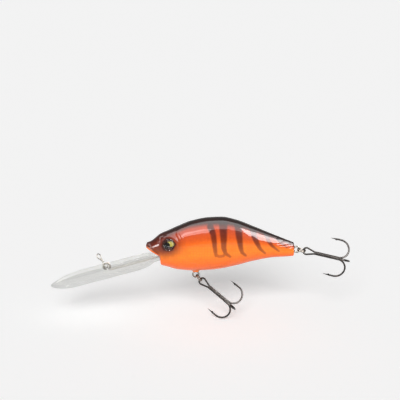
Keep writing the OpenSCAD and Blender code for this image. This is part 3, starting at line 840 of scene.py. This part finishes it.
def eased(points, count=6):
    """A smooth curve through the points, with this many steps between two of them."""
    out = []
    for k in range(len(points) - 1):
        a, b = points[k], points[k + 1]
        before = points[k - 1] if k else 2 * a - b
        after = points[k + 2] if k + 2 < len(points) else 2 * b - a
        for i in range(count):
            t = i / count
            out.append(0.5 * (2 * a + (b - before) * t + (2 * before - 5 * a + 4 * b - after) * t * t
                              + (3 * a - before - 3 * b + after) * t ** 3))
    return out + [points[-1]]


def even(points, thickness):
    """The same thickness all along, with the two cut ends slightly broken."""
    last = len(points) - 1
    return [(p, thickness * (0.8 if k in (0, last) else 1)) for k, p in enumerate(points)]


# %% [markdown]
# ## Wire and hook finishes
# Stainless wire is bright with fine draw marks along it. The rings are nickel-plated spring steel.
# The hooks are black nickel: a dark mirror that shows only thin grey lines of light. The brown tint
# of the orange body shows in all of them. A small function makes all of these finishes, because
# they only differ in colour, polish and the fineness of the marks.

# %% Metals


def metal(name, colour, roughness, grain, wear):
    """A metal with fine draw marks. grain is how many marks there are in a millimetre."""
    material, tree, main = finish_of(name, Metallic=1.0)
    place = add(tree, "ShaderNodeTexCoord").outputs["Object"]
    marks = add(tree, "ShaderNodeTexNoise", {"Vector": place})
    marks.inputs["Scale"].default_value = grain / MM
    marks.inputs["Detail"].default_value = 4
    rough = add(tree, "ShaderNodeMapRange", {0: marks.outputs["Fac"]},
                _3=roughness * 0.7, _4=roughness * 1.5)
    tree.links.new(rough.outputs[0], main.inputs["Roughness"])
    tone = ramp(tree, marks.outputs["Fac"], (0.3, colour), (0.75, wear))
    tree.links.new(tone, main.inputs["Base Color"])
    dent = add(tree, "ShaderNodeBump", {"Height": marks.outputs["Fac"]})
    dent.inputs["Strength"].default_value = 0.12
    dent.inputs["Distance"].default_value = 0.02 * MM
    tree.links.new(dent.outputs[0], main.inputs["Normal"])
    return material


stainless = metal("drawn stainless wire", "#8d8880", 0.20, 2.0, "#b4afa7")
ring_nickel = metal("nickel-plated spring steel", "#857c74", 0.16, 2.4, "#a79e94")
black_nickel = metal("black nickel plating on hook wire", "#3b3836", 0.22, 1.8, "#575350")

# %% [markdown]
# ## Hook hangers
# Each hanger is an eye for a split ring with two legs that run into the body, where they open into
# a second loop. The shells close round that loop, so a fish can't pull the hanger out. Its middle
# line is two arcs joined by straight legs, swept by the wire rule.

# %% Hangers
BELLY_EYE, TAIL_EYE = Vector((-11.4, 0, -14.5)), Vector((36.2, 0, -2.1))
HANGER_WIRE, HANGER_R, ANCHOR_R = 0.86, 1.42, 1.3
LEG_PITCH = HANGER_WIRE + 0.17
ALONG_Y = Vector((0, 1, 0))


def hanger(name, node, eye, out, leg):
    side = ALONG_Y.cross(out)
    e = math.degrees(math.asin(LEG_PITCH / 2 / HANGER_R))
    g = math.degrees(math.asin(LEG_PITCH / 2 / ANCHOR_R))
    eye_to_leg = HANGER_R * math.cos(math.radians(e))
    leg_to_anchor = ANCHOR_R * math.cos(math.radians(g))
    anchor = eye - out * (eye_to_leg + leg + leg_to_anchor)
    line = (arc(anchor, -out, side, ANCHOR_R, 12, 180 - g, 20)
            + arc(eye, -out, side, HANGER_R, e, 360 - e, 44)
            + arc(anchor, -out, side, ANCHOR_R, 180 + g, 348, 20))
    made = bent_wire(name, [even(line, HANGER_WIRE)], stainless)
    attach(made, "lure_body")
    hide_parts(node)


hanger("belly_hanger_wire", "belly_hook_hanger", BELLY_EYE, Vector((0, 0, -1)), 2.2)
hanger("tail_hanger_wire", "tail_hook_hanger", TAIL_EYE, Vector((1, 0, 0)), 2.4)

# %% [markdown]
# ## Line tie
# The line is tied to an eye that stands on top of the lip. Its wire lies inside the clear plastic
# and hooks round a pin in the nose. The same wire is drawn through the lip here, because it shows.

# %% Line tie
TIE_EYE = -BODY_AT
TIE_WIRE, TIE_R, TIE_EXIT, TIE_ANCHOR_R = 0.8, 1.6, 24.0, 1.2
TIE_FOOT = 52                            # degrees below level, where the wire runs into the eye


def on_lip(ahead, above):
    """A point on the lip's middle line, in the body's axes."""
    c, s = math.cos(LIP_PITCH), math.sin(LIP_PITCH)
    return LIP_ROOT + ahead * Vector((-c, 0, -s)) + above * Vector((-s, 0, c))


ahead, above = on_lip(1, 0) - LIP_ROOT, on_lip(0, 1) - LIP_ROOT
tie_start = on_lip(-TONGUE_LENGTH - 0.6, 0)
foot = math.radians(TIE_FOOT)
to_foot = Vector((math.cos(foot), 0, -math.sin(foot)))
past_foot = Vector((math.sin(foot), 0, math.cos(foot)))
rise = eased([on_lip(TIE_EXIT - 1.2, 0), on_lip(TIE_EXIT - 0.5, 0.15), TIE_EYE + TIE_R * to_foot], 4)
tie_line = (arc(tie_start - TIE_ANCHOR_R * above, above, -ahead, TIE_ANCHOR_R, 250, 0, 24)
            + [on_lip(d, 0) for d in (0, 6, 12, 18, TIE_EXIT - 1.2)] + rise[1:-1]
            + arc(TIE_EYE, to_foot, past_foot, TIE_R, 0, 318, 44))
tie = bent_wire("line_tie", [even(tie_line, TIE_WIRE)], stainless)
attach(tie, "lure_body")
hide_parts("line_tie_wire")

# %% [markdown]
# ## Line snap
# The snap is one thin wire: a lower loop through the line tie, a wrap at the neck and an upper loop
# for the line. A few given points with a smooth curve through them give it its bent look.

# %% Line snap
SNAP_LEAN, SNAP_TWIST, SNAP_SEAT, SNAP_WIRE = 36, 25, 0.55, 0.5
X, Y, Z = Vector((1, 0, 0)), Vector((0, 1, 0)), Vector((0, 0, 1))
NECK, TOP, LOOP_R = 4.6, 6.6, 1.3
wrap_start = [Vector((0.62, 0, 3.0)), Vector((0.32, 0.1, NECK - 0.7)), Vector((0.1, 0.4, NECK))]
snap_line = eased(wrap_start
                  + arc(Vector((0, 0, NECK + 0.1)), X, Y, 0.42, 90, 270, 6)
                  + [Vector((0.32, -0.1, NECK + 0.7))]
                  + arc(Vector((0, 0, TOP)), -Z, X, LOOP_R, 40, 320, 12)
                  + [Vector((-0.3, 0, NECK + 0.5)), Vector((-0.3, 0, NECK - 0.5))]
                  + [Vector((-LOOP_R, 0, 2))]
                  + arc(Vector((0, 0, LOOP_R)), -X, -Z, LOOP_R, 0, 170, 10), 4)
snap_turn = (Matrix.Rotation(math.radians(-SNAP_LEAN), 3, "Y")
             @ Matrix.Rotation(math.radians(90 - SNAP_TWIST), 3, "Z"))
snap_line = [snap_turn @ (p - SNAP_SEAT * Z) - BODY_AT for p in snap_line]
snap = bent_wire("wire_snap", [even(snap_line, SNAP_WIRE)], stainless, 16)
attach(snap, "snap")
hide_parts("line_snap")

# %% [markdown]
# ## Split rings
# A split ring is nearly two turns of wire, side by side. Halfway round, one turn steps over to lie
# on the other, so a hook can be worked on between them. The step is a soft ramp along the line.

# %% Split rings
RING_R, RING_WIRE = 1.85, 0.5
RING_IN_HANGER, RING_IN_HOOK = 0.5, 0.6


def dipped(angle):
    return Vector((math.cos(math.radians(angle)), 0, -math.sin(math.radians(angle))))


def split_ring(name, node, body, eye, dip):
    d = dipped(dip)
    side = ALONG_Y.cross(d)
    centre = eye + (RING_IN_HANGER + RING_R) * d
    ex, ey = (ALONG_Y + 0.2 * d).normalized(), (d - 0.2 * ALONG_Y).normalized()
    line = []
    for k in range(131):
        a = 35 + 5 * k
        u = min(1, max(0, (a - 332) / 50))
        step = (u * u * (3 - 2 * u) - 0.5) * (RING_WIRE + 0.03)
        turn = math.radians(a)
        line.append(centre + RING_R * (math.cos(turn) * ex + math.sin(turn) * ey) + side * step)
    made = bent_wire(name, [even(line, RING_WIRE)], ring_nickel, 16)
    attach(made, body)
    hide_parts(node)


BELLY_RING_DIP, TAIL_RING_DIP = 48.8, 11.2       # degrees below level, at rest
split_ring("belly_ring_wire", "belly_split_ring", "belly_ring", BELLY_EYE, BELLY_RING_DIP)
split_ring("tail_ring_wire", "tail_split_ring", "tail_ring", TAIL_EYE, TAIL_RING_DIP)

# %% [markdown]
# ## Treble hooks
# A treble is two wires. One is bent into the eye and two hooks; the other makes the third hook and
# is brazed along the shank. Each point is ground to a long taper and has a barb cut up from the
# inner side of the spear. The braze fills the groove between the three wires.

# %% Trebles
HOOK_WIRE, SHANK, REACH, BEND_DEPTH, SPEAR = 0.86, 15.5, 10.1, 4.3, 5.2
HOOK_EYE_R, SHANK_OFFSET, NECK_AT, BARB_AT, BARB_HEIGHT = 1.55, 0.53, 3.8, 3.0, 0.42
HOOK_LEAN = math.radians(15)
POINT_STEPS = 14


def hook_axes(dip):
    """Along the shank, towards the single hook, and across both."""
    a = math.radians(dip)
    s = math.cos(a) * X + math.sin(a) * Vector((0, -math.sin(HOOK_LEAN), -math.cos(HOOK_LEAN)))
    t = Vector((0, -math.cos(HOOK_LEAN), math.sin(HOOK_LEAN)))
    return s, t, s.cross(t)


def hook_line(eye, s, radial, start):
    """(point, thickness, barb) from the neck to the needle point."""
    bend_r = (REACH - SHANK_OFFSET) / 2

    def at(along, out):
        return eye + along * s + out * radial

    line = [(at(start + (SHANK - start) * k / 10, SHANK_OFFSET), HOOK_WIRE) for k in range(10)]
    for i in range(33):
        a = math.pi * i / 32
        out = SHANK_OFFSET + bend_r - bend_r * math.cos(a)
        line.append((at(SHANK + BEND_DEPTH * math.sin(a), out), HOOK_WIRE))
    for k in range(1, POINT_STEPS + 1):
        back = SPEAR * k / POINT_STEPS
        left = SPEAR - back
        taper = min(1, 0.1 + 0.9 * (left / 3.4)) if left < 3.4 else 1.0
        rise = max(0, 1 - abs(left - BARB_AT) / (0.25 if left > BARB_AT else 1.1))
        line.append((at(SHANK - back, REACH - 0.1 * (back / SPEAR) ** 2), HOOK_WIRE * taper,
                     -radial * BARB_HEIGHT * rise))
    return line


def treble(side_name, body, eye, ring_dip, dip):
    s, t, u = hook_axes(dip)
    hook_eye = eye + (RING_IN_HANGER + 2 * RING_R + RING_IN_HOOK) * dipped(ring_dip)
    first, second = -0.5 * t + math.sqrt(3) / 2 * u, -0.5 * t - math.sqrt(3) / 2 * u
    leg = SHANK_OFFSET * math.sqrt(3) / 2
    to_neck = math.hypot(NECK_AT, leg)
    spread = math.degrees(math.atan(leg / NECK_AT) + math.acos(HOOK_EYE_R / to_neck))
    loop = arc(hook_eye - SHANK_OFFSET / 2 * t, s, u, HOOK_EYE_R, spread, 360 - spread, 40)
    a, b = hook_line(hook_eye, s, first, NECK_AT), hook_line(hook_eye, s, second, NECK_AT)
    double = list(reversed(a)) + [(p, HOOK_WIRE) for p in loop] + b
    made = bent_wire(f"{side_name}_double_hook", [double], black_nickel)
    single = hook_line(hook_eye, s, t, NECK_AT + 0.4)
    braze = [(hook_eye + s * (NECK_AT + 0.2 + (SHANK - NECK_AT + 1.2) * k / 24),
              0.92 * min(1, 0.25 + k / 3, 0.25 + (24 - k) / 3)) for k in range(25)]
    third = bent_wire(f"{side_name}_single_hook", [single, braze], black_nickel)
    for piece, node in ((made, "double"), (third, "single")):
        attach(piece, body)
        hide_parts(f"{side_name}_treble_{node}")
    print(side_name, "treble:", len(made.data.polygons) + len(third.data.polygons), "faces")


treble("belly", "belly_treble", BELLY_EYE, BELLY_RING_DIP, 39.6)
treble("tail", "tail_treble", TAIL_EYE, TAIL_RING_DIP, 13.1)

# %% [markdown]
# ## Eyes
# Each eye is a printed foil disc under a clear cast dome. The print has a black pupil a little
# ahead of the middle and a pale yellow iris that runs to a point behind it. The print's two
# directions are stored on the disc, so both eyes look forward.

# %% Eye print
print_ink, tree, main = finish_of("printed foil, gloss ink", Roughness=0.4, Specular_IOR_Level=0.2)
uv = add(tree, "ShaderNodeAttribute", attribute_name="eye_place").outputs["Vector"]


def blob(centre, half_size, low, high):
    """1 inside an oval on the disc and 0 outside it, in millimetres."""
    moved = add(tree, "ShaderNodeVectorMath", {0: uv}, operation="SUBTRACT", _1=(*centre, 0))
    scaled = add(tree, "ShaderNodeVectorMath", {0: moved.outputs[0]}, operation="DIVIDE",
                 _1=(*half_size, 1))
    far = add(tree, "ShaderNodeVectorMath", {0: scaled.outputs[0]}, operation="LENGTH")
    return add(tree, "ShaderNodeMapRange", {0: far.outputs["Value"]}, _1=low, _2=high, _3=1.0, _4=0.0,
               interpolation_type="SMOOTHSTEP").outputs[0]


fleck = add(tree, "ShaderNodeTexNoise", {"Vector": uv})
fleck.inputs["Scale"].default_value = 3.2
fleck.inputs["Detail"].default_value = 4
gold = ramp(tree, fleck.outputs["Fac"], (0.3, "#8f7d1e"), (0.5, "#c9bb4c"), (0.72, "#e9e08c"))
ground = add(tree, "ShaderNodeRGB").outputs[0]
ground.default_value = linear("#36130a")
iris = spray(ground, gold, blob((0.75, 0.35), (1.85, 1.2), 0.86, 1.10))
pupil = spray(iris, "#0d0c0b", blob((-0.85, -0.4), (1.45, 1.45), 0.93, 1.05))
tree.links.new(pupil, main.inputs["Base Color"])

dome_clear, tree, main = finish_of("cast clear epoxy dome", Base_Color=(1, 1, 1, 1), Roughness=0.0,
                                   Transmission_Weight=1.0, IOR=1.5, Alpha=0.25)

# %% Discs and domes
EYE_DISC, DISC_THICK, DOME_HIGH, GLUE = 5.4, 0.6, 1.0, 0.02


def domed(radius, high, steps=14):
    """(radius, height) from the dome's rim to its top."""
    ball = (radius ** 2 + high ** 2) / (2 * high)
    out = [(radius - 0.02, 0.0), (radius, 0.08)]
    for k in range(1, steps):
        r = radius * (1 - k / steps)
        out.append((r, high - ball + math.sqrt(ball ** 2 - r ** 2) + 0.08 * (k < 2)))
    return out + [(0.02, high)]


for side, half_name in ((-1, "left"), (1, "right")):
    socket = eye_axes(side)
    bottom, top = GLUE - EYE_DEPTH, GLUE - EYE_DEPTH + DISC_THICK
    edge = EYE_DISC / 2
    face = [edge * k / 18 for k in range(18, 0, -1)]
    profile = ([(0.02, bottom), (edge - 0.08, bottom), (edge, bottom + 0.1), (edge, top - 0.08)]
               + [(r - 0.06 if k == 0 else r, top) for k, r in enumerate(face)] + [(0.02, top)])
    disc = turned(f"{half_name}_printed_disc", profile, socket, print_ink)
    back_to_eye = socket.inverted()
    local = [back_to_eye @ v.co / MM for v in disc.data.vertices]
    disc.data.attributes.new("eye_place", "FLOAT_VECTOR", "POINT").data.foreach_set(
        "vector", [c for p in local for c in (p.x, -side * p.y, 0)])
    rim = 2 * GLUE - EYE_DEPTH + DISC_THICK
    dome_profile = [(0.02, rim)] + [(r, rim + h) for r, h in domed(edge, DOME_HIGH)]
    dome = turned(f"{half_name}_clear_dome", dome_profile, socket, dome_clear)
    for piece, node, slot_name in ((disc, "disc", "eye_print"), (dome, "dome", "eye_clear")):
        weld(piece)
        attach(piece, "lure_body")
        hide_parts(f"{half_name}_eye_{node}")

# %% [markdown]
# ## Weights inside
# The keel weight and the casting balls are plain steel and the rattle is a brass ball. They are
# hidden by the painted shells, so the CAD solids are kept and only take their metals.

# %% Metals for the weights
steel_bar = metal("bare steel bar, machined", "#6d6e70", 0.35, 1.2, "#8d8e90")
steel_ball = metal("polished bearing steel", "#a8a9ab", 0.12, 1.5, "#c5c6c8")
brass = metal("turned brass", "#b08d45", 0.22, 1.5, "#d0b068")
for node, finish in (("keel_weight", steel_bar), ("transfer_ball_front", steel_ball),
                     ("transfer_ball_rear", steel_ball), ("rattle_ball", brass)):
    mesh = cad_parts[node].data
    mesh.materials.clear()
    mesh.materials.append(finish)
